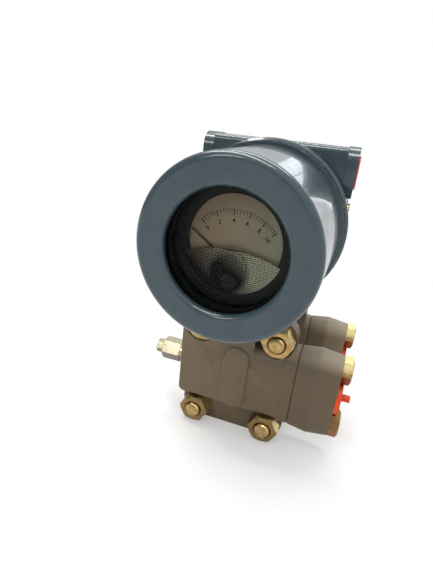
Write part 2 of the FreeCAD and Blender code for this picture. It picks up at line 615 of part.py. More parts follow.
def electronics_housing():
    """Cast two-compartment body: rims for both covers, conduit bar and neck boss."""
    r, rim = HOUSING_RADIUS, HOUSING_RIM_RADIUS
    front, rear = HOUSING_FRONT, HOUSING_REAR
    outer = turned([(front, 0), (front, rim - 1.5), (front + 1.5, rim),
                    (front + HOUSING_RIM_LENGTH - 2, rim),
                    (front + HOUSING_RIM_LENGTH + 2, r), (rear - HOUSING_REAR_RIM_LENGTH - 3, r),
                    (rear - HOUSING_REAR_RIM_LENGTH, rim - 2), (rear - 1, rim - 2),
                    (rear, rim - 3), (rear, 0)], vec(0, 0, HOUSING_Z))
    boss = cyl(NECK_BOSS_RADIUS, NECK_BOSS_DROP - r + 6, vec(0, 0, BOSS_BOTTOM), Z)
    boss = boss.common(Part.makeBox(REACH, REACH, REACH, vec(-REACH / 2, front + 0.5, 0)))
    shape = outer.fuse(conduit_bar()).fuse(boss)
    inner = r - HOUSING_WALL
    thread = COVER_THREAD_RADIUS
    divider_back = DIVIDER_Y + DIVIDER_THICKNESS
    front_room = turned([(front - 1, 0), (front - 1, thread), (front + COVER_THREAD_LENGTH, thread),
                         (front + COVER_THREAD_LENGTH, inner), (DIVIDER_Y, inner), (DIVIDER_Y, 0)],
                        vec(0, 0, HOUSING_Z))
    rear_room = turned([(divider_back, 0), (divider_back, inner),
                        (rear - COVER_THREAD_LENGTH, inner), (rear - COVER_THREAD_LENGTH, thread),
                        (rear + 1, thread), (rear + 1, 0)], vec(0, 0, HOUSING_Z))
    shape = shape.cut(front_room).cut(rear_room)
    shape = shape.cut(cyl(NECK_RADIUS + RUNNING_FIT, NECK_ENGAGEMENT + LOOSE_FIT,
                          vec(0, 0, BOSS_BOTTOM), Z))
    shape = shape.cut(cyl(WIRE_HOLE_RADIUS, NECK_BOSS_DROP - inner + 1, vec(0, 0, BOSS_BOTTOM), Z))
    side_seat = vec(r + SIDE_BOSS_PROUD, SIDE_SCREW_Y, HOUSING_Z + SIDE_SCREW_RISE)
    side_boss = Part.makeCone(SIDE_BOSS_RADIUS, SIDE_BOSS_RADIUS + 1, 5, side_seat, -X)
    shape = shape.fuse(side_boss).cut(cyl(SIDE_SCREW_SHANK_RADIUS, 4.5, side_seat, -X))
    z = HOUSING_Z + CONDUIT_RISE
    for side in (-1, 1):
        mouth = vec(side * CONDUIT_HALF_LENGTH, CONDUIT_Y, z)
        shape = shape.cut(cyl(CONDUIT_BORE_RADIUS, CONDUIT_THREAD_LENGTH, mouth, X * -side))
        shape = shape.cut(cyl(CONDUIT_PASSAGE_RADIUS, CONDUIT_HALF_LENGTH - 12, mouth, X * -side))
    return shape


def side_screw():
    """Small brass screw in the boss on the housing's right side."""
    z = HOUSING_Z + SIDE_SCREW_RISE
    seat = HOUSING_RADIUS + SIDE_BOSS_PROUD
    head = cyl(SIDE_SCREW_RADIUS, 2.2, vec(seat, SIDE_SCREW_Y, z), X)
    slot = Part.makeBox(1.2, 6, 0.8, vec(seat + 1.2, SIDE_SCREW_Y - 3, z - 0.4))
    return head.cut(slot).fuse(cyl(SIDE_SCREW_SHANK_RADIUS, 4, vec(seat, SIDE_SCREW_Y, z), -X))


def conduit_plug():
    """Plastic plug in the right-hand conduit entry."""
    z = HOUSING_Z + CONDUIT_RISE
    mouth = vec(CONDUIT_HALF_LENGTH, CONDUIT_Y, z)
    body = cyl(CONDUIT_BORE_RADIUS, CONDUIT_PLUG_LENGTH, mouth, -X)
    rim = cyl(CONDUIT_PLUG_RIM_RADIUS, CONDUIT_PLUG_RIM, mouth, X)
    return body.fuse(rim).cut(cyl(CONDUIT_BORE_RADIUS - 2, 20, mouth - X * 3, -X))


# ---- covers -----------------------------------------------------------------------------
def cover_band(shoulder, direction):
    """Grip band at a cover's edge: two rims with pockets between evenly spaced ribs."""
    pocket = COVER_BAND_RADIUS - COVER_POCKET_DEPTH
    root = pocket - COVER_BAND_DEPTH
    low = min(shoulder, shoulder + direction * COVER_BAND_LENGTH)
    last = low + COVER_BAND_LENGTH - COVER_BAND_RIM
    shape = ring(pocket, root, COVER_BAND_LENGTH, vec(0, low, HOUSING_Z), Y)
    rims = [ring(COVER_BAND_RADIUS, root, COVER_BAND_RIM, vec(0, start, HOUSING_Z), Y)
            for start in (low, last)]
    rib = Part.makeBox(COVER_RIB_WIDTH, COVER_BAND_LENGTH, COVER_POCKET_DEPTH + COVER_BAND_DEPTH / 2,
                       vec(-COVER_RIB_WIDTH / 2, low, pocket - COVER_BAND_DEPTH / 2))
    rib = rib.common(cyl(COVER_BAND_RADIUS, COVER_BAND_LENGTH, vec(0, low, 0), Y))
    ribs = [rib.rotated(vec(0, 0, 0), Y, 360 / COVER_RIB_COUNT * (i + 0.5)).translated(Z * HOUSING_Z)
            for i in range(COVER_RIB_COUNT)]
    return shape.fuse(rims + ribs)


def meter_cover():
    """Deep turned cover with a rounded window ring and a male thread at the back."""
    face, front = COVER_FACE_RADIUS, COVER_FRONT
    skirt = COVER_BAND_RADIUS - COVER_POCKET_DEPTH - COVER_BAND_STEP
    band_front = COVER_SHOULDER - COVER_BAND_LENGTH
    spigot_end = COVER_SHOULDER + COVER_THREAD_LENGTH
    spigot = COVER_THREAD_RADIUS - RUNNING_FIT
    inner = face - COVER_WALL
    lip = front + WINDOW_LIP
    seat_end = lip + GASKET_THICKNESS + GLASS_THICKNESS + RETAINER_THICKNESS + 1
    profile = [(lip, WINDOW_RADIUS), (front, WINDOW_RADIUS), (front, face),
               (band_front, skirt), (COVER_SHOULDER, skirt), (COVER_SHOULDER, spigot),
               (spigot_end - THREAD_CHAMFER, spigot), (spigot_end, spigot - THREAD_CHAMFER),
               (spigot_end, inner), (seat_end + THREAD_CHAMFER, inner),
               (seat_end, GLASS_RADIUS + LOOSE_FIT), (lip, GLASS_RADIUS + LOOSE_FIT)]
    shape = turned(profile, vec(0, 0, HOUSING_Z))
    shape = shape.makeFillet(COVER_EDGE_RADIUS, round_edges(shape, face, front))
    shape = shape.makeFillet(WINDOW_EDGE_RADIUS, round_edges(shape, WINDOW_RADIUS, front))
    return shape.fuse(cover_band(COVER_SHOULDER, -1))


def cover_seal(shoulder, direction):
    """O-ring squeezed between a cover's shoulder and the housing's face."""
    inner = COVER_THREAD_RADIUS + 0.2
    low = shoulder if direction > 0 else shoulder - COVER_SEAL_SECTION / 2
    return ring(inner + COVER_SEAL_SECTION, inner, COVER_SEAL_SECTION / 2,
                vec(0, low, HOUSING_Z), Y)


def glass_gasket():
    lip = COVER_FRONT + WINDOW_LIP
    return ring(GLASS_RADIUS, WINDOW_RADIUS + 0.6, GASKET_THICKNESS, vec(0, lip, HOUSING_Z), Y)


def cover_glass():
    start = COVER_FRONT + WINDOW_LIP + GASKET_THICKNESS
    return cyl(GLASS_RADIUS, GLASS_THICKNESS, vec(0, start, HOUSING_Z), Y)


def glass_retainer():
    """Threaded ring that holds the glass, with four spanner notches."""
    start = COVER_FRONT + WINDOW_LIP + GASKET_THICKNESS + GLASS_THICKNESS
    shape = ring(GLASS_RADIUS + LOOSE_FIT, GLASS_RADIUS - RETAINER_WIDTH, RETAINER_THICKNESS,
                 vec(0, start, HOUSING_Z), Y)
    notch = Part.makeBox(4, 3, 4, vec(-2, RETAINER_THICKNESS - 1.5,
                                      GLASS_RADIUS - RETAINER_WIDTH - 1))
    for i in range(4):
        shape = shape.cut(notch.rotated(vec(0, 0, 0), Y, 90 * i)
                          .translated(vec(0, start, HOUSING_Z)))
    return shape


def terminal_cover():
    """Plain dished cover on the terminal side, with the same grip band and thread."""
    back = REAR_SHOULDER + REAR_COVER_LENGTH
    dish = back - REAR_COVER_DISH
    skirt = COVER_BAND_RADIUS - COVER_POCKET_DEPTH + COVER_BAND_STEP
    dish_radius = skirt - COVER_EDGE_RADIUS - DISH_RIM_WIDTH
    spigot = COVER_THREAD_RADIUS - RUNNING_FIT
    inner = spigot - REAR_COVER_WALL
    start = REAR_SHOULDER - COVER_THREAD_LENGTH
    profile = [(start, inner), (start, spigot - THREAD_CHAMFER), (start + THREAD_CHAMFER, spigot),
               (REAR_SHOULDER, spigot), (REAR_SHOULDER, skirt), (back, skirt),
               (back, dish_radius + 2 * REAR_COVER_DISH), (dish, dish_radius), (dish, 0),
               (dish - COVER_WALL, 0), (dish - COVER_WALL, inner)]
    shape = turned(profile, vec(0, 0, HOUSING_Z))
    shape = shape.makeFillet(COVER_EDGE_RADIUS, round_edges(shape, skirt, back))
    return shape.fuse(cover_band(REAR_SHOULDER, 1))


# ---- meter ------------------------------------------------------------------------------
def meter_case():
    """Cup that holds the movement behind the dial."""
    front = METER_PLANE + DIAL_THICKNESS
    back = METER_PLANE + METER_CASE_DEPTH
    shape = cyl(METER_CASE_RADIUS, back - front, vec(0, front, METER_Z), Y)
    room = cyl(METER_CASE_RADIUS - METER_CASE_WALL, back - front - METER_CASE_WALL,
               vec(0, front, METER_Z), Y)
    return shape.cut(room)


def dial_plate():
    """Dial with a hole for the staff."""
    plate = cyl(METER_CASE_RADIUS, DIAL_THICKNESS, vec(0, METER_PLANE, METER_Z), Y)
    return plate.cut(cyl(STAFF_RADIUS + 0.6, 5, vec(0, METER_PLANE - 1, PIVOT_Z), Y))


def meter_bezel():
    """Black frame around the dial, with a mounting ear on each side."""
    front = METER_PLANE - BEZEL_THICKNESS
    r = METER_CASE_RADIUS
    shape = turned([(METER_PLANE, r), (METER_PLANE, BEZEL_BORE_RADIUS),
                    (front, BEZEL_BORE_RADIUS), (front, r - 1), (front + 1, r)],
                   vec(0, 0, METER_Z))
    for start in (-EAR_REACH, r - 2):
        ear = Part.makeBox(EAR_REACH - r + 2, BEZEL_THICKNESS, 2 * EAR_HALF_HEIGHT,
                           vec(start, front, METER_Z - EAR_HALF_HEIGHT))
        shape = shape.fuse(ear)
    return shape


def meter_shroud():
    """Panel over the pivot with a gently arched top, a raised dome and the zero screw's hole."""
    back = METER_PLANE - BEZEL_THICKNESS
    arch_z = METER_Z + SHROUD_CROWN - SHROUD_ARCH_RADIUS
    panel = cyl(SHROUD_RADIUS, SHROUD_THICKNESS, vec(0, back, METER_Z), -Y)
    panel = panel.common(cyl(SHROUD_ARCH_RADIUS, SHROUD_THICKNESS, vec(0, back, arch_z), -Y))
    dome = cyl(DOME_RADIUS, SHROUD_THICKNESS + DOME_HEIGHT, vec(0, back, PIVOT_Z), -Y)
    shape = panel.fuse(dome)
    return shape.cut(cyl(ZERO_SCREW_RADIUS + RUNNING_FIT, 10,
                         vec(0, back + 1, METER_Z - ZERO_SCREW_DROP), -Y))


def zero_screw():
    """Slotted adjuster in the shroud, with an eccentric pin behind it."""
    back = METER_PLANE - BEZEL_THICKNESS
    z = METER_Z - ZERO_SCREW_DROP
    length = SHROUD_THICKNESS + ZERO_SCREW_PROUD + 1
    shape = cyl(ZERO_SCREW_RADIUS, length, vec(0, back + 1, z), -Y)
    slot = Part.makeBox(2 * ZERO_SCREW_RADIUS + 1, 0.8, 1.0,
                        vec(-ZERO_SCREW_RADIUS - 0.5, back + 1 - length, z - 0.5))
    return shape.cut(slot).fuse(cyl(0.6, 1.2, vec(0, back + 1, z - 2), Y))


def pointer():
    """Tapered needle with a hub and a counterweighted tail, parked below the scale."""
    y = METER_PLANE - POINTER_STANDOFF
    thick = POINTER_THICKNESS
    tail = POINTER_TAIL
    tip, root = POINTER_TIP_WIDTH / 2, POINTER_ROOT_WIDTH / 2
    outline = [vec(-tip, y, POINTER_LENGTH), vec(tip, y, POINTER_LENGTH), vec(root, y, 0),
               vec(root, y, -tail), vec(-root, y, -tail), vec(-root, y, 0)]
    needle = Part.Face(Part.makePolygon(outline + outline[:1])).extrude(-Y * thick)
    hub = cyl(POINTER_HUB_RADIUS, thick, vec(0, y, 0), -Y)
    weight = cyl(POINTER_WEIGHT_RADIUS, thick, vec(0, y, -tail), -Y)
    shape = needle.fuse([hub, weight])
    shape = shape.cut(cyl(STAFF_RADIUS, 5, vec(0, y + 1, 0), -Y))
    return shape.rotated(vec(0, 0, 0), Y, POINTER_REST_ANGLE).translated(Z * PIVOT_Z)


def moving_coil():
    """Rectangular coil on the staff, free to turn between the core and the magnet."""
    front = METER_PLANE + DIAL_THICKNESS + 2.2
    length = MAGNET_LENGTH + 4.4
    outer = Part.makeBox(2 * COIL_RADIUS, length, COIL_BAR, vec(-COIL_RADIUS, front, -COIL_BAR / 2))
    inner_radius = COIL_RADIUS - COIL_BAR
    inner = Part.makeBox(2 * inner_radius, length - 2.6, COIL_BAR,
                         vec(-inner_radius, front + 1.3, -COIL_BAR / 2))
    staff_front = METER_PLANE - POINTER_STANDOFF - POINTER_THICKNESS
    staff = cyl(STAFF_RADIUS, front + 0.5 - staff_front, vec(0, staff_front, 0), Y)
    rear_end = METER_PLANE + METER_CASE_DEPTH - METER_CASE_WALL - SEAT_GAP
    pivot = cyl(STAFF_RADIUS, rear_end - front - length + 0.5, vec(0, front + length - 0.5, 0), Y)
    shape = outer.cut(inner).fuse([staff, pivot])
    return shape.rotated(vec(0, 0, 0), Y, POINTER_REST_ANGLE).translated(Z * PIVOT_Z)


def meter_magnet():
    """Ring magnet with its core, held together by a bridge clear of the coil's swing."""
    front = METER_PLANE + DIAL_THICKNESS + 4.4
    centre = vec(0, front, PIVOT_Z)
    shape = ring(MAGNET_OUTER_RADIUS, MAGNET_INNER_RADIUS, MAGNET_LENGTH, centre, Y)
    shape = shape.fuse(cyl(CORE_RADIUS, MAGNET_LENGTH, centre, Y))
    span = 2 * MAGNET_INNER_RADIUS + 1
    bridge = Part.makeBox(4, MAGNET_LENGTH, span, centre - vec(2, 0, span / 2))
    shape = shape.fuse(bridge).removeSplitter()
    foot_length = METER_PLANE + METER_CASE_DEPTH - METER_CASE_WALL - front - MAGNET_LENGTH
    feet = [cyl(2.0, foot_length + 0.01, vec(sx * 12.6, front + MAGNET_LENGTH - 0.01, PIVOT_Z), Y)
            for sx in (-1, 1)]
    return shape.fuse(feet)


# ---- electronics ------------------------------------------------------------------------
def board(front):
    """Round circuit board."""
    return cyl(BOARD_RADIUS, BOARD_THICKNESS, vec(0, front, HOUSING_Z), Y)


def board_fronts():
    first = DIVIDER_Y - BOARD_GAP - BOARD_THICKNESS
    return first, first - BOARD_GAP - BOARD_THICKNESS


def board_posts():
    first, second = board_fronts()
    posts = []
    for angle in (45, 135, 225, 315):
        x = BOARD_POST_CIRCLE * cos(radians(angle))
        z = HOUSING_Z + BOARD_POST_CIRCLE * sin(radians(angle))
        for front in (first, second):
            start = front + BOARD_THICKNESS
            posts.append(cyl(METER_POST_RADIUS, BOARD_GAP, vec(x, start, z), Y))
    return posts


def meter_posts():
    second = board_fronts()[1]
    start = METER_PLANE + METER_CASE_DEPTH
    posts = []
    for angle in (90, 210, 330):
        x = METER_POST_CIRCLE * cos(radians(angle))
        z = METER_Z + METER_POST_CIRCLE * sin(radians(angle))
        posts.append(cyl(METER_POST_RADIUS, second - start, vec(x, start, z), Y))
    return posts


def terminal_block():
    """Moulded block on the divider, with barriers between its terminals."""
    width, depth, height = TERMINAL_BLOCK_SIZE
    back = DIVIDER_Y + DIVIDER_THICKNESS
    shape = Part.makeBox(width, depth, height, vec(-width / 2, back, HOUSING_Z - height / 2))
    for i in (-1, 0, 1):
        corner = vec(i * TERMINAL_SCREW_SPACING - BARRIER_THICKNESS / 2, back + depth,
                     HOUSING_Z - height / 2)
        shape = shape.fuse(Part.makeBox(BARRIER_THICKNESS, BARRIER_HEIGHT, height, corner))
    return shape


def terminal_screws():
    width, depth, height = TERMINAL_BLOCK_SIZE
    face = DIVIDER_Y + DIVIDER_THICKNESS + depth
    screws = []
    for i in range(4):
        x = (i - 1.5) * TERMINAL_SCREW_SPACING
        for sz in (-1, 1):
            head = cyl(TERMINAL_SCREW_RADIUS, 2, vec(x, face, HOUSING_Z + sz * height / 4), Y)
            slot = Part.makeBox(8, 0.9, 0.8, vec(x - 4, face + 1.2,
                                                 HOUSING_Z + sz * height / 4 - 0.4))
            screws.append(head.cut(slot))
    return screws


# ---- the parts --------------------------------------------------------------------------
def all_parts():
    y_sides = (("front", -1), ("rear", 1))
    rear_flange, rear_adapter = flange_rear(), adapter_rear()
    corners = [(x, CELL_Z + z) for x, z in four_corners()]
    adapter_places = [(sy * PORT_Y, PORT_Z + sz * ADAPTER_BOLT_SPACING / 2)
                      for sy in (-1, 1) for sz in (-1, 1)]
    first_board, second_board = board_fronts()
    parts = {
        "sensor_module": sensor_module(),
        "housing_lock_nut": lock_nut(),
        "flange_rear": rear_flange,
        "flange_front": mirrored(rear_flange),
        "flange_bolts": [flange_bolt(x, z) for x, z in corners],
        "flange_nuts": [flange_nut(x, z) for x, z in corners],
        "adapter_rear": rear_adapter,
        "adapter_front": mirrored(rear_adapter),
        "adapter_bolts": [adapter_bolt(y, z) for y, z in adapter_places],
        "electronics_housing": electronics_housing(),
        "housing_side_screw": side_screw(),
        "conduit_plug": conduit_plug(),
        "meter_cover": meter_cover(),
        "meter_cover_oring": cover_seal(COVER_SHOULDER, 1),
        "cover_glass": cover_glass(),
        "glass_gasket": glass_gasket(),
        "glass_retainer": glass_retainer(),
        "terminal_cover": terminal_cover(),
        "terminal_cover_oring": cover_seal(REAR_SHOULDER, -1),
        "meter_case": meter_case(),
        "dial_plate": dial_plate(),
        "meter_bezel": meter_bezel(),
        "meter_shroud": meter_shroud(),
        "zero_screw": zero_screw(),
        "pointer": pointer(),
        "moving_coil": moving_coil(),
        "meter_magnet": meter_magnet(),
        "meter_posts": meter_posts(),
        "amplifier_board": board(first_board),
        "calibration_board": board(second_board),
        "board_posts": board_posts(),
        "terminal_block": terminal_block(),
        "terminal_screws": terminal_screws(),
    }
    for name, side in y_sides:
        parts["diaphragm_" + name] = diaphragm(side)
        parts["flange_oring_" + name] = flange_oring(side)
        parts["adapter_oring_" + name] = adapter_seal(side)
        parts["port_plug_" + name] = port_plug(side)
        parts["vent_seat_" + name] = vent_seat(side)
        parts["vent_stem_" + name] = vent_stem(side)
    return parts


def export(parts):
    os.makedirs("parts", exist_ok=True)
    for name, solid in parts.items():
        shape = Part.makeCompound(solid) if isinstance(solid, list) else solid
        shape.exportStep("parts/" + name + ".step")
        box = shape.BoundBox
        print("%-22s %2d solids %9.0f mm3 valid %s  x %.1f..%.1f y %.1f..%.1f z %.1f..%.1f" % (
            name, len(shape.Solids), shape.Volume, shape.isValid(), box.XMin, box.XMax,
            box.YMin, box.YMax, box.ZMin, box.ZMax))


export(all_parts())
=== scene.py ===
import json
from math import cos, pi, radians, sin

import bmesh
import bpy
from mathutils import Matrix, Vector


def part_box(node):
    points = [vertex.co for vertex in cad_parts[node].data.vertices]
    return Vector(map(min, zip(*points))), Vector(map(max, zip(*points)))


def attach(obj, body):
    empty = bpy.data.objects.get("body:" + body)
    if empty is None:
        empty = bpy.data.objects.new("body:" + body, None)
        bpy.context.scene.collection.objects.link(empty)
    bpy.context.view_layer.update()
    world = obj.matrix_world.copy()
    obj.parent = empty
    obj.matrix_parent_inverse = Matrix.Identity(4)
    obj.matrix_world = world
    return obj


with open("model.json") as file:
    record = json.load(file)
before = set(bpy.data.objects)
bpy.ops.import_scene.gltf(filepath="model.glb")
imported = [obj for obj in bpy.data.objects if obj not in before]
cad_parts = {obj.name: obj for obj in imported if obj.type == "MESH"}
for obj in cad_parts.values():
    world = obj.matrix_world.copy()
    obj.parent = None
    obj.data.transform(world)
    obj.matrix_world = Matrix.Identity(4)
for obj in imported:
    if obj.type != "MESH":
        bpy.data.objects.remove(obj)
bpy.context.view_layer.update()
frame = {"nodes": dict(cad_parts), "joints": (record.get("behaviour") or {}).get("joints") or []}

# A differential pressure transmitter: finishes for the CAD pieces, the dial's print, a pale
# room with soft lamps, and the camera.  Lengths are in metres, in the part's own frame, and
# the angles named at the top are in degrees.

MM = 0.001

# ---- places read from the frame -------------------------------------------------------
PIVOT = next(Vector(joint["pos_m"]) for joint in frame["joints"]
             if joint["name"] == "pointer_swing")
DIAL_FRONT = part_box("dial_plate")[0].y
# On the adapter bolts the painted light on upper faces ends this far below the top of the upper
# heads
PAINTED_LIGHT_DEPTH = 5.5 * MM
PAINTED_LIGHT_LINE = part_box("adapter_bolts")[1].z - PAINTED_LIGHT_DEPTH

# ---- sizes of the dial's print --------------------------------------------------------
NUMBER_ANGLES = (-42.0, -23.7, -4.7, 13.1, 30.2, 45.4)
DIVISIONS = 5
SCALE_RADIUS = 29.0 * MM
ARC_WIDTH = 0.16 * MM
ARC_OVERLAP = 1.02
LONG_TICK = 2.9 * MM
SHORT_TICK = 1.9 * MM
LONG_TICK_WIDTH = 0.52 * MM
SHORT_TICK_WIDTH = 0.34 * MM
TICK_THICKNESS = 0.06 * MM
NUMBER_RADIUS = 23.2 * MM
NUMBER_HEIGHT = 3.0 * MM
NUMBER_BOLDNESS = 0.09 * MM
NUMBER_THICKNESS = 0.02 * MM

# ---- sizes of the meter's patterned panel ---------------------------------------------
PANEL_HALF_WIDTH = 25 * MM
PANEL_HEIGHT = 20 * MM
ROW_PITCH = 1.15 * MM
SCALLOP_PITCH = 1.9 * MM
ARCH_DROP = 2 * MM

# ---- room and camera ------------------------------------------------------------------
ROOM_LEVEL = 0.66
ROOM_BRIGHT_SIDE = (0.80, 0.25, 0.55)
FLOOR_HALF_SIZE = 4.0
MIDDLE = (0.0, -0.02, 0.10)
COVER_MIDDLE = (0.03, -0.07, 0.185)
DAYLIGHT = (0.76, 0.88, 1.0)
LAMPLIGHT = (1.0, 0.98, 0.95)
WARM_LAMPLIGHT = (1.0, 0.97, 0.90)
CAMERA_PLACE = (0.051463, -0.270581, 0.204144)
CAMERA_TURN = (68.6127, -5.8708, 19.0724)
CAMERA_LENS = 24.931


# ---- shader nodes ---------------------------------------------------------------------
class Value:
    """A shader socket that can be used in sums: each operation adds one Math node."""

    def __init__(self, nodes, socket):
        self.nodes = nodes
        self.socket = socket

    def maths(self, operation, first, second):
        return self.nodes.value("ShaderNodeMath", {"operation": operation},
                                {0: first, 1: second})

    def __add__(self, other):
        return self.maths("ADD", self, other)

    def __radd__(self, other):
        return self.maths("ADD", other, self)

    def __sub__(self, other):
        return self.maths("SUBTRACT", self, other)

    def __rsub__(self, other):
        return self.maths("SUBTRACT", other, self)

    def __mul__(self, other):
        return self.maths("MULTIPLY", self, other)

    def __rmul__(self, other):
        return self.maths("MULTIPLY", other, self)

    def __truediv__(self, other):
        return self.maths("DIVIDE", self, other)

    def __rtruediv__(self, other):
        return self.maths("DIVIDE", other, self)

    def __pow__(self, other):
        return self.maths("POWER", self, other)

    def __rpow__(self, other):
        return self.maths("POWER", other, self)


class Nodes:
    """A node tree, and short ways to add what it needs."""

    def __init__(self, tree):
        tree.nodes.clear()
        self.tree = tree

    def node(self, kind, settings=None, values=None):
        made = self.tree.nodes.new(kind)
        for name, setting in (settings or {}).items():
            setattr(made, name, setting)
        for name, value in (values or {}).items():
            self.feed(made.inputs[name], value)
        return made

    def value(self, kind, settings=None, values=None, output=0):
        return Value(self, self.node(kind, settings, values).outputs[output])

    def feed(self, socket, value):
        source = value.socket if isinstance(value, Value) else value
        if isinstance(source, bpy.types.NodeSocket):
            self.tree.links.new(source, socket)
        else:
            socket.default_value = source

    def spread(self, value, low, high, to_low=0.0, to_high=1.0):
        """Map low..high to to_low..to_high, and hold the ends."""
        return self.value("ShaderNodeMapRange", {"clamp": True},
                          {"Value": value, "From Min": low, "From Max": high,
                           "To Min": to_low, "To Max": to_high})

    def mix(self, factor, first, second):
        node = self.node("ShaderNodeMix", {"data_type": "RGBA"}, {0: factor, 6: first, 7: second})
        return node.outputs[2]

    def dot(self, first, second):
        return self.value("ShaderNodeVectorMath", {"operation": "DOT_PRODUCT"},
                          {0: first, 1: second}, "Value")

    def ray(self, kind):
        return self.value("ShaderNodeLightPath", output=kind)

    def shown(self):
        """1 for rays from the camera or from a mirror or a pane, and 0 for all light."""
        rays = self.ray("Is Camera Ray") + self.ray("Is Glossy Ray")
        return self.spread(rays + self.ray("Is Transmission Ray"), 0.0, 1.0)


class Finish(Nodes):
    """One procedural finish: a Principled surface and the nodes that drive it."""

    def __init__(self, name, **surface):
        self.material = bpy.data.materials.new(name)
        self.material.use_nodes = True
        super().__init__(self.material.node_tree)
        named = {key.replace("_", " "): value for key, value in surface.items()}
        self.surface = self.node("ShaderNodeBsdfPrincipled", {}, named)
        self.output = self.node("ShaderNodeOutputMaterial", {}, {0: self.surface.outputs[0]})
        self.place = self.node("ShaderNodeTexCoord").outputs["Object"]

    def set(self, name, value):
        self.feed(self.surface.inputs[name], value)

    def show_mix(self, factor, first, second):
        """Show the first shader where factor is 0 and the second where it is 1."""
        mixed = self.node("ShaderNodeMixShader", {},
                          {0: factor, 1: first.outputs[0], 2: second.outputs[0]})
        self.feed(self.output.inputs[0], mixed.outputs[0])

    def noise(self, scale, detail, roughness, place=None, distortion=0.0):
        values = {"Vector": place or self.place, "Scale": scale, "Detail": detail,
                  "Roughness": roughness, "Distortion": distortion}
        return self.value("ShaderNodeTexNoise", {}, values)

    def cells(self, scale, randomness):
        values = {"Vector": self.place, "Scale": scale, "Randomness": randomness}
        return self.value("ShaderNodeTexVoronoi", {}, values, "Distance")

    def stretched(self, scale):
        node = self.node("ShaderNodeMapping", {}, {"Vector": self.place, "Scale": scale})
        return node.outputs[0]

    def wave(self, value):
        return self.value("ShaderNodeMath", {"operation": "SINE"}, {0: value})

    def axes(self):
        node = self.node("ShaderNodeSeparateXYZ", {}, {0: self.place})
        return [Value(self, socket) for socket in node.outputs]

    def rounded(self, radius):
        return self.node("ShaderNodeBevel", {"samples": 6}, {"Radius": radius}).outputs[0]

    def true_normal(self):
        return self.node("ShaderNodeNewGeometry").outputs["True Normal"]

    def edge(self, radius):
        """How far the surface turns within radius: 0 on flats, more along edges."""
        return 1.0 - self.dot(self.rounded(radius), self.true_normal())

    def facing(self, direction):
        """1 where the piece's own surface faces this way, 0 side on and -1 facing away."""
        own = self.node("ShaderNodeVectorTransform",
                        {"vector_type": "NORMAL", "convert_from": "WORLD", "convert_to": "OBJECT"},
                        {0: self.true_normal()})
        return self.dot(own.outputs[0], direction)

    def relief(self, height, depth, strength=1.0, soft_edge=0.0):
        """Bump of this depth, with sharp edges shaded round by soft_edge."""
        values = {"Height": height, "Distance": depth, "Strength": strength}
        if soft_edge:
            values["Normal"] = self.rounded(soft_edge)
        self.set("Normal", self.node("ShaderNodeBump", {}, values).outputs[0])


def colour(red, green, blue):
    return (red, green, blue, 1.0)


# ---- finishes -------------------------------------------------------------------------
def cast_enamel(name):
    """Gloss blue-grey enamel over a casting: orange peel, slight mottle, thin on edges."""
    deep, light = colour(0.022, 0.043, 0.054), colour(0.036, 0.062, 0.076)
    dust, thin_coat = colour(0.10, 0.125, 0.13), colour(0.15, 0.19, 0.205)
    finish = Finish(name, Coat_Roughness=0.04, Specular_IOR_Level=0.35)
    mottle = finish.noise(38, 4, 0.55)
    peel = finish.noise(620, 3, 0.5)
    casting = finish.noise(140, 4, 0.55)
    specks = finish.spread(finish.noise(900, 2, 0.5), 0.70, 0.80)
    thin = finish.spread(finish.edge(1.2 * MM), 0.02, 0.35) * finish.spread(casting, 0.35, 0.7)
    body = finish.mix(specks * 0.5, finish.mix(mottle, deep, light), dust)
    finish.set("Base Color", finish.mix(thin * 0.45, body, thin_coat))
    finish.set("Roughness", finish.spread(mottle, 0.3, 0.7, 0.20, 0.32))
    finish.set("Coat Weight", finish.spread(casting, 0.3, 0.7, 0.40, 0.65))
    finish.relief(peel * 0.6 + casting * 2.0, 0.05 * MM, 0.55, 0.7 * MM)
    return finish.material


def flange_paint(name):
    """Satin taupe paint over a sand casting: fine grain, soft hollows, and rubbed edges that also
    carry a painted highlight.

    It has painted shade towards the adapters in front, and painted light on faces turned up and at
    the rear.
    """
    deep, light = colour(0.118, 0.084, 0.046), colour(0.190, 0.142, 0.086)
    hollow, oily = colour(0.055, 0.040, 0.024), colour(0.070, 0.050, 0.030)
    dull, painted_rear_light = colour(0.085, 0.064, 0.038), colour(0.30, 0.24, 0.165)
    dusty, bare = colour(0.40, 0.34, 0.26), colour(0.38, 0.32, 0.23)
    finish = Finish(name, Specular_IOR_Level=0.32)
    grain = finish.noise(1500, 3, 0.6)
    hollows = finish.noise(210, 5, 0.6)
    mottle = finish.noise(55, 4, 0.6)
    grime = finish.spread(finish.noise(30, 5, 0.65), 0.45, 0.75)
    # Rubbed edges: partly wear, and partly a painted highlight along edges and chamfers.
    rubbed = finish.spread(finish.edge(1.4 * MM), 0.03, 0.4) * finish.spread(hollows, 0.4, 0.62)
    x, y, _ = finish.axes()
    # Painted shade towards the adapters in front and painted light at the rear, set by place;
    # painted light on faces turned up, set by their facing.
    in_front = finish.spread(y, -5 * MM, 5 * MM, 1.0, 0.0)
    shade_near_adapters = finish.spread(x, -5 * MM, 50 * MM, 0.0, 0.62)
    painted_top_light = finish.spread(finish.facing((0.0, 0.0, 1.0)), 0.15, 0.9, 0.0, 0.6)
    body = finish.mix(mottle, deep, light)
    body = finish.mix(finish.spread(hollows, 0.25, 0.45, 0.4, 0.0), body, hollow)
    body = finish.mix(grime * 0.35, body, oily)
    # dull is painted shade near the adapters, and dusty here is painted light on faces turned up.
    body = finish.mix(shade_near_adapters * in_front, body, dull)
    body = finish.mix((1.0 - in_front) * 0.5, body, painted_rear_light)
    body = finish.mix(painted_top_light, body, dusty)
    finish.set("Base Color", finish.mix(rubbed * 0.8, body, bare))
    finish.set("Roughness", finish.spread(mottle + grain * 0.4, 0.4, 1.0, 0.40, 0.56))
    finish.relief(grain * 0.5 + hollows * 2.2, 0.09 * MM, 0.8, 0.9 * MM)
    return finish.material


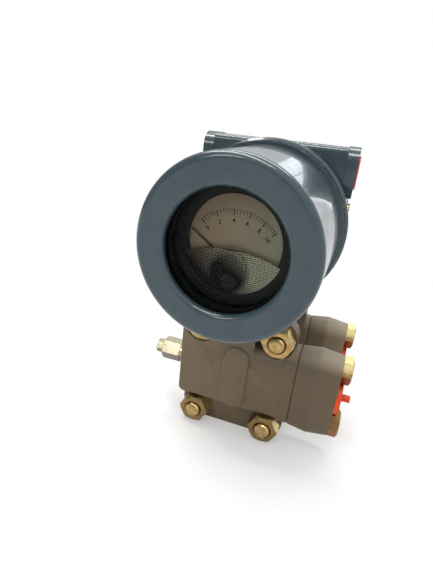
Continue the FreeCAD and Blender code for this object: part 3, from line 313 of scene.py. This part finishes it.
def yellow_zinc(name, shade_tint, shaded_side, pale_side, pale_above=0.0, low_shade=0.7):
    """Yellow chromate on zinc plate, with painted light as pale gold on faces turned to pale_side
    and painted shade as a darker tint on faces turned to shaded_side.

    The painted light shows only above pale_above, and soot sets how much darker the lowest pieces
    are, a painted shade.
    """
    gold, bright_gold = colour(0.36, 0.235, 0.095), colour(0.54, 0.38, 0.17)
    rose, low_shade_tone = colour(0.40, 0.17, 0.07), colour(0.16, 0.105, 0.045)
    pale, bare = colour(0.92, 0.78, 0.36), colour(0.78, 0.66, 0.42)
    finish = Finish(name, Metallic=1.0)
    clouds = finish.noise(260, 3, 0.55)
    blush = finish.noise(430, 2, 0.5, distortion=0.6)
    tooling = finish.noise(1.0, 2, 0.6, finish.stretched((350.0, 5200.0, 350.0)))
    height = finish.axes()[2]
    # Painted light: pale gold on faces turned to pale_side, above pale_above. Painted shade: a
    # darker tint on faces turned to shaded_side.
    pale_face = finish.spread(finish.facing(pale_side) + clouds * 0.2, 0.65, 0.9)
    high_up = finish.spread(height + clouds * 2 * MM, pale_above, pale_above + 3 * MM)
    shaded_faces = finish.spread(finish.facing(shaded_side) + blush * 0.3, 0.35, 0.75)
    worn = finish.spread(finish.edge(0.6 * MM), 0.05, 0.4)
    body = finish.mix(finish.spread(clouds, 0.35, 0.65), gold, bright_gold)
    body = finish.mix(finish.spread(blush, 0.56, 0.7, 0.0, 0.6), body, rose)
    # Painted shade on the lowest pieces, then painted shade on the shaded faces and painted light
    # on the lit faces.
    body = finish.mix(finish.spread(height, 18 * MM, 75 * MM, low_shade, 0.0), body, low_shade_tone)
    body = finish.mix(shaded_faces, body, shade_tint)
    body = finish.mix(pale_face * high_up, body, pale)
    finish.set("Base Color", finish.mix(worn * 0.4, body, bare))
    finish.set("Roughness", finish.spread(clouds, 0.3, 0.7, 0.24, 0.40))
    finish.relief(tooling, 0.02 * MM, 0.5, 0.35 * MM)
    return finish.material


def turned_steel(name):
    """Machined stainless steel with fine turning lines, a straw tint and painted shade underneath.
    """
    straw, bright = colour(0.64, 0.58, 0.42), colour(0.80, 0.725, 0.525)
    painted_underside_shade = colour(0.08, 0.07, 0.062)
    finish = Finish(name, Metallic=1.0)
    lines = finish.noise(1.0, 2, 0.6, finish.stretched((6500.0, 400.0, 400.0)))
    clouds = finish.noise(190, 3, 0.5)
    # Painted shade on faces turned down and to the front, broken up by clouds.
    under = finish.spread(finish.facing((0.0, -0.5, -0.87)) + clouds * 0.4, 0.3, 0.9)
    finish.set("Base Color", finish.mix(under * 0.85, finish.mix(clouds, straw, bright), painted_underside_shade))
    finish.set("Roughness", finish.spread(lines + clouds, 0.6, 1.4, 0.18, 0.34))
    finish.relief(lines, 0.015 * MM, 0.6, 0.3 * MM)
    return finish.material


def blasted_steel(name):
    """Bead-blasted stainless cell, slightly heat-tinted."""
    grey, tinted = colour(0.40, 0.38, 0.34), colour(0.52, 0.49, 0.43)
    finish = Finish(name, Metallic=1.0)
    blast = finish.noise(2300, 3, 0.6)
    clouds = finish.noise(70, 4, 0.55)
    finish.set("Base Color", finish.mix(clouds, grey, tinted))
    finish.set("Roughness", finish.spread(clouds, 0.3, 0.7, 0.36, 0.5))
    finish.relief(blast, 0.03 * MM, 0.7, 0.4 * MM)
    return finish.material


def moulded_plastic(name, dark, light, roughness):
    """Injection-moulded plastic with a fine eggshell grain and faint flow marks."""
    finish = Finish(name, Specular_IOR_Level=0.3)
    flow = finish.noise(120, 4, 0.6)
    eggshell = finish.noise(2600, 2, 0.5)
    finish.set("Base Color", finish.mix(flow, dark, light))
    finish.set("Roughness", finish.spread(flow, 0.3, 0.7, roughness - 0.06, roughness + 0.08))
    finish.relief(eggshell, 0.02 * MM, 0.7, 0.25 * MM)
    return finish.material


def seal_rubber(name):
    """Black nitrile: dull, dusty in places."""
    black, dusty = colour(0.012, 0.012, 0.013), colour(0.045, 0.044, 0.042)
    finish = Finish(name, Specular_IOR_Level=0.35)
    dust = finish.noise(420, 5, 0.65)
    finish.set("Base Color", finish.mix(finish.spread(dust, 0.5, 0.75), black, dusty))
    finish.set("Roughness", finish.spread(dust, 0.3, 0.7, 0.55, 0.78))
    finish.relief(dust, 0.03 * MM)
    return finish.material


def window_glass(name):
    """Clear pane: light goes straight through, and the surface mirrors by its angle."""
    finish = Finish(name, Base_Color=colour(0.02, 0.025, 0.025))
    clear = finish.node("ShaderNodeBsdfTransparent", {}, {"Color": colour(0.93, 0.95, 0.94)})
    film = finish.noise(45, 5, 0.6)
    mirror = finish.value("ShaderNodeFresnel", {}, {"IOR": 1.5})
    finish.set("Roughness", finish.spread(film, 0.4, 0.8, 0.02, 0.12))
    finish.show_mix(mirror + finish.spread(film, 0.45, 0.8, 0.0, 0.05), clear, finish.surface)
    return finish.material


def dial_enamel(name):
    """Matte beige dial lacquer, faintly speckled and aged, browner on its left."""
    brown, beige = colour(0.56, 0.37, 0.255), colour(0.55, 0.50, 0.37)
    aged, fleck = colour(0.40, 0.30, 0.20), colour(0.30, 0.24, 0.18)
    finish = Finish(name, Specular_IOR_Level=0.3)
    speckle = finish.noise(1900, 2, 0.5)
    age = finish.spread(finish.noise(60, 4, 0.6), 0.35, 0.75, 0.0, 0.35)
    rightward = finish.spread(finish.axes()[0], -20 * MM, 24 * MM)
    body = finish.mix(age, finish.mix(rightward, brown, beige), aged)
    finish.set("Base Color", finish.mix(finish.spread(speckle, 0.62, 0.8, 0.0, 0.5), body, fleck))
    finish.set("Roughness", finish.spread(speckle, 0.3, 0.7, 0.5, 0.65))
    finish.relief(speckle, 0.01 * MM)
    return finish.material


def rippled_panel(name):
    """Pressed panel with rows of small dark scallops.

    It has painted shade towards its lower left and in an arch over the zero screw, and painted
    light, paler and straw-coloured, towards its right.
    """
    brown, straw = colour(0.42, 0.28, 0.20), colour(0.92, 0.88, 0.66)
    black = colour(0.02, 0.02, 0.02)
    shade_tone, shade_gap_tone = colour(0.006, 0.006, 0.007), colour(0.003, 0.003, 0.004)
    finish = Finish(name, Specular_IOR_Level=0.15)
    x, _, z = finish.axes()
    right, up = (x - PIVOT.x) / PANEL_HALF_WIDTH, (z - PIVOT.z) / PANEL_HEIGHT
    row = (z + finish.noise(300, 2, 0.5) * 0.5 * MM) * (2 * pi / ROW_PITCH)
    across = (x + finish.noise(240, 2, 0.5) * 0.8 * MM) * (2 * pi / SCALLOP_PITCH)
    rows, scallops = finish.wave(row), finish.wave(across + finish.wave(row * 0.5) * 1.5)
    ridge = finish.spread(rows * 0.7 + scallops * 0.45 + finish.noise(700, 2, 0.5) * 0.6,
                          0.0, 0.8)
    # Square of the distance, in millimetres, from a point ARCH_DROP under the pivot
    from_arch = ((right * (PANEL_HALF_WIDTH / MM)) ** 2
                 + (up * (PANEL_HEIGHT / MM) + ARCH_DROP / MM) ** 2)
    arch = finish.spread(from_arch, 60, 150, 0.8, 0.0)
    cloud = finish.noise(70, 3, 0.5)
    # Painted shade darkens the lower left, the arch and the gaps on the left; painted light
    # brightens the upper right, where the straw tint is painted light too.
    lit_amount = finish.spread(right + up * 1.25 + cloud * 0.5 - arch, -0.65, 0.45)
    tint = finish.mix(finish.spread(right, -0.8, 0.5), brown, straw)
    gap = finish.mix(finish.spread(right, 0.0, 1.0, 0.88, 0.6), tint, black)
    finish.set("Base Color", finish.mix(ridge, finish.mix(lit_amount, shade_gap_tone, gap),
                                        finish.mix(lit_amount, shade_tone, tint)))
    finish.set("Roughness", finish.spread(rows, -1.0, 1.0, 0.42, 0.55))
    finish.relief(ridge, 0.1 * MM, 0.6)
    return finish.material


def black_lacquer(name):
    """Black lacquered metal with bare rubs along its edges."""
    black, worn = colour(0.010, 0.010, 0.011), colour(0.026, 0.027, 0.028)
    bare = colour(0.12, 0.12, 0.12)
    finish = Finish(name, Specular_IOR_Level=0.5)
    clouds = finish.noise(150, 4, 0.6)
    rubbed = finish.spread(finish.edge(0.5 * MM), 0.05, 0.5) * finish.spread(clouds, 0.4, 0.7)
    finish.set("Base Color", finish.mix(rubbed * 0.5, finish.mix(clouds, black, worn), bare))
    finish.set("Roughness", finish.spread(clouds, 0.3, 0.7, 0.3, 0.48))
    finish.relief(finish.noise(1800, 2, 0.5), 0.008 * MM, 0.5, 0.3 * MM)
    return finish.material


def circuit_board(name):
    """Green laminate: woven glass under solder mask, with tracks in a lighter green."""
    green, woven = colour(0.012, 0.075, 0.035), colour(0.022, 0.11, 0.05)
    track = colour(0.05, 0.20, 0.09)
    finish = Finish(name, Coat_Weight=0.3, Coat_Roughness=0.1)
    weave = finish.noise(1.0, 1, 0.5, finish.stretched((2600.0, 300.0, 2600.0)))
    tracks = finish.spread(finish.cells(260, 0.35), 0.42, 0.46)
    finish.set("Base Color", finish.mix(tracks * 0.6, finish.mix(weave, green, woven), track))
    finish.set("Roughness", finish.spread(weave, 0.3, 0.7, 0.25, 0.4))
    finish.relief(tracks + weave * 0.3, 0.03 * MM)
    return finish.material


def aged_brass(name):
    """Brass with brown clouds of tarnish."""
    tarnish, yellow = colour(0.42, 0.24, 0.10), colour(0.70, 0.47, 0.22)
    finish = Finish(name, Metallic=1.0)
    clouds = finish.noise(300, 3, 0.6)
    finish.set("Base Color", finish.mix(clouds, tarnish, yellow))
    finish.set("Roughness", finish.spread(clouds, 0.3, 0.7, 0.26, 0.45))
    finish.relief(finish.noise(1500, 2, 0.5), 0.02 * MM, 0.6, 0.2 * MM)
    return finish.material


def printed_ink(name):
    """Black dial print, a little uneven."""
    black, thin = colour(0.012, 0.011, 0.010), colour(0.035, 0.030, 0.026)
    finish = Finish(name, Specular_IOR_Level=0.3)
    uneven = finish.noise(2400, 2, 0.6)
    finish.set("Base Color", finish.mix(uneven, black, thin))
    finish.set("Roughness", finish.spread(uneven, 0.3, 0.7, 0.5, 0.7))
    finish.relief(uneven, 0.005 * MM)
    return finish.material


ENAMEL = cast_enamel("gloss_blue_grey_enamel")
FLANGE = flange_paint("satin_taupe_paint")
# Each zinc finish paints shade on faces turned one way and light on faces turned another; the
# adapter bolts' copy paints light only on the upper heads.
NUT_ZINC = yellow_zinc("yellow_zinc_plate", colour(0.13, 0.085, 0.035), (-0.4, 0.0, -0.9),
                       (0.3, 0.0, 0.95))
BOLT_ZINC = yellow_zinc("yellow_zinc_bolt", colour(0.20, 0.11, 0.04), (-0.4, 0.0, -0.9),
                        (0.3, 0.0, 0.95), low_shade=0.0)
ZINC_SHADED_COPY = yellow_zinc("yellow_zinc_shaded_copy", colour(0.26, 0.075, 0.026), (0.0, -0.75, -0.66),
                        (0.0, -0.5, 0.87), PAINTED_LIGHT_LINE)
STEEL = turned_steel("turned_stainless")
CELL_STEEL = blasted_steel("blasted_stainless")
RUBBER = seal_rubber("black_nitrile")
PLUG = moulded_plastic("orange_red_plastic", colour(0.52, 0.042, 0.008),
                       colour(0.78, 0.078, 0.012), 0.34)
BLACK_PLASTIC = moulded_plastic("black_plastic", colour(0.008, 0.008, 0.009),
                                colour(0.018, 0.018, 0.019), 0.42)
BOARD = circuit_board("green_laminate")
GLASS = window_glass("clear_pane")
DIAL = dial_enamel("beige_dial_lacquer")
PANEL = rippled_panel("rippled_panel_shaded")
LACQUER = black_lacquer("black_lacquer")
BRASS = aged_brass("aged_brass")
INK = printed_ink("black_print")

DRESS = {
    ENAMEL: ("electronics_housing", "meter_cover", "terminal_cover"),
    FLANGE: ("flange_front", "flange_rear", "adapter_front", "adapter_rear"),
    CELL_STEEL: ("sensor_module",),
    STEEL: ("housing_lock_nut", "diaphragm_front", "diaphragm_rear", "vent_seat_front",
            "vent_seat_rear", "vent_stem_front", "vent_stem_rear", "terminal_screws"),
    BOLT_ZINC: ("flange_bolts",),
    NUT_ZINC: ("flange_nuts",),
    ZINC_SHADED_COPY: ("adapter_bolts",),
    RUBBER: ("flange_oring_front", "flange_oring_rear", "adapter_oring_front",
             "adapter_oring_rear", "meter_cover_oring", "terminal_cover_oring", "glass_gasket"),
    PLUG: ("port_plug_front", "port_plug_rear", "conduit_plug"),
    GLASS: ("cover_glass",),
    DIAL: ("dial_plate",),
    PANEL: ("meter_shroud",),
    LACQUER: ("glass_retainer", "pointer", "meter_magnet"),
    BLACK_PLASTIC: ("meter_case", "meter_bezel", "zero_screw", "terminal_block"),
    BRASS: ("housing_side_screw", "moving_coil", "meter_posts", "board_posts"),
    BOARD: ("amplifier_board", "calibration_board"),
}
for material, node_names in DRESS.items():
    for node_name in node_names:
        slots = frame["nodes"][node_name].data.materials
        slots.clear()
        slots.append(material)


# ---- the dial's print -----------------------------------------------------------------
def add_object(name, data):
    made = bpy.data.objects.new(name, data)
    bpy.context.scene.collection.objects.link(made)
    return made


def mesh_object(name, shape, material):
    """Turn a bmesh into an object with one material."""
    mesh = bpy.data.meshes.new(name)
    shape.to_mesh(mesh)
    shape.free()
    mesh.materials.append(material)
    return add_object(name, mesh)


def add_print(name, shape):
    """Print rides on the housing, as the dial plate does."""
    made = mesh_object(name, shape, INK)
    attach(made, "housing")


def on_dial(angle, radius, lift):
    """Place and turn for print at an angle and a radius from the pivot, lifted off the dial."""
    place = Vector((PIVOT.x + radius * sin(angle), DIAL_FRONT - lift,
                    PIVOT.z + radius * cos(angle)))
    return Matrix.Translation(place) @ Matrix.Rotation(angle, 4, "Y")


def dash(shape, angle, radius, width, length):
    made = bmesh.ops.create_cube(shape, size=1.0)["verts"]
    size = Matrix.Diagonal((width, TICK_THICKNESS, length, 1.0))
    place = on_dial(angle, radius, TICK_THICKNESS / 2)
    bmesh.ops.transform(shape, matrix=place @ size, verts=made)


def dial_scale():
    """A thin arc round the pivot, with long and short ticks hanging from it."""
    shape = bmesh.new()
    for start, end in zip(NUMBER_ANGLES, NUMBER_ANGLES[1:]):
        step = radians(end - start) / DIVISIONS
        for i in range(DIVISIONS):
            angle = radians(start) + step * i
            length = SHORT_TICK if i else LONG_TICK
            width = SHORT_TICK_WIDTH if i else LONG_TICK_WIDTH
            dash(shape, angle, SCALE_RADIUS - length / 2, width, length)
            dash(shape, angle + step / 2, SCALE_RADIUS, step * SCALE_RADIUS * ARC_OVERLAP,
                 ARC_WIDTH)
    dash(shape, radians(NUMBER_ANGLES[-1]), SCALE_RADIUS - LONG_TICK / 2, LONG_TICK_WIDTH,
         LONG_TICK)
    add_print("dial_scale", shape)


def number_mesh(text, angle):
    curve = bpy.data.curves.new("number_" + text, "FONT")
    curve.body = text
    curve.size = NUMBER_HEIGHT
    curve.align_x = "CENTER"
    curve.align_y = "CENTER"
    curve.extrude = NUMBER_THICKNESS
    curve.offset = NUMBER_BOLDNESS
    curve.resolution_u = 3
    flat = bpy.data.objects.new("number_" + text, curve)
    mesh = bpy.data.meshes.new_from_object(flat)
    bpy.data.objects.remove(flat)
    upright = Matrix.Rotation(pi / 2, 4, "X")
    mesh.transform(on_dial(angle, NUMBER_RADIUS, 2 * NUMBER_THICKNESS) @ upright)
    return mesh


def dial_numbers():
    """Plain even numbers under the long ticks."""
    shape = bmesh.new()
    for i, angle in enumerate(NUMBER_ANGLES):
        mesh = number_mesh(str(2 * i), radians(angle))
        shape.from_mesh(mesh)
        bpy.data.meshes.remove(mesh)
    add_print("dial_numbers", shape)


# ---- room, lights and camera ----------------------------------------------------------
def floor():
    """Pale floor that keeps the shadow near the part and fades to white further out."""
    finish = Finish("pale_floor", Base_Color=colour(0.90, 0.90, 0.90), Roughness=0.8)
    distance = finish.value("ShaderNodeVectorMath", {"operation": "LENGTH"},
                            {0: finish.place}, "Value")
    far = finish.spread(distance, 0.06, 0.36, 0.35, 1.0)
    white = finish.node("ShaderNodeEmission", {}, {"Color": colour(1, 1, 1), "Strength": 1.0})
    finish.show_mix(far * finish.shown(), finish.surface, white)
    shape = bmesh.new()
    bmesh.ops.create_grid(shape, x_segments=1, y_segments=1, size=FLOOR_HALF_SIZE)
    mesh_object("floor", shape, finish.material)


def room_light():
    """White to the camera; as light and in mirrors it falls off away from its bright side."""
    world = bpy.data.worlds.new("room")
    bpy.context.scene.world = world
    world.use_nodes = True
    room = Nodes(world.node_tree)
    direction = room.node("ShaderNodeTexCoord").outputs["Generated"]
    towards = room.dot(direction, ROOM_BRIGHT_SIDE)
    seen, mirrored = room.ray("Is Camera Ray"), room.ray("Is Glossy Ray")
    in_mirrors = room.spread(towards, -0.30, 0.45, 0.28, 1.0)
    as_light = room.spread(towards, -0.80, 0.80, 0.70, 1.0)
    fall = mirrored * in_mirrors + (1.0 - mirrored) * as_light
    level = room.spread(room.shown(), 0.0, 1.0, ROOM_LEVEL, 1.0)
    strength = level * (fall * (1.0 - seen) + seen)
    background = room.node("ShaderNodeBackground", {},
                           {"Color": colour(1, 1, 1), "Strength": strength})
    room.node("ShaderNodeOutputWorld", {}, {0: background.outputs[0]})


def soft_box(name, place, target, size, watts, tint):
    """A rectangular lamp aimed at a target, and unseen by the camera."""
    light = bpy.data.lights.new(name, "AREA")
    light.color = tint
    light.shape = "RECTANGLE"
    light.size, light.size_y = size
    light.energy = watts
    made = add_object(name, light)
    made.location = place
    made.rotation_euler = (Vector(target) - Vector(place)).to_track_quat("-Z", "Y").to_euler()
    made.visible_camera = False


def camera():
    data = bpy.data.cameras.new("camera")
    data.sensor_fit = "AUTO"
    data.sensor_width = 36.0
    data.lens = CAMERA_LENS
    data.clip_start, data.clip_end = 0.01, 20.0
    made = add_object("camera", data)
    made.location = CAMERA_PLACE
    made.rotation_euler = [radians(turn) for turn in CAMERA_TURN]
    bpy.context.scene.camera = made


dial_scale()
dial_numbers()
floor()
room_light()
soft_box("lamp_long", (-0.20, -0.20, 1.00), MIDDLE, (1.20, 0.13), 8.0, LAMPLIGHT)
soft_box("lamp_back", (0.05, 0.28, 1.00), MIDDLE, (0.80, 0.12), 4.5, LAMPLIGHT)
soft_box("lamp_front", (-0.34, -0.84, 0.68), MIDDLE, (0.30, 0.20), 1.7, WARM_LAMPLIGHT)
soft_box("pane_left", (0.015, 0.92, 0.31), COVER_MIDDLE, (0.12, 0.24), 0.13, DAYLIGHT)
soft_box("pane_right", (0.155, 0.91, 0.27), COVER_MIDDLE, (0.14, 0.26), 0.17, DAYLIGHT)
camera()
bpy.context.scene.view_settings.view_transform = "Standard"
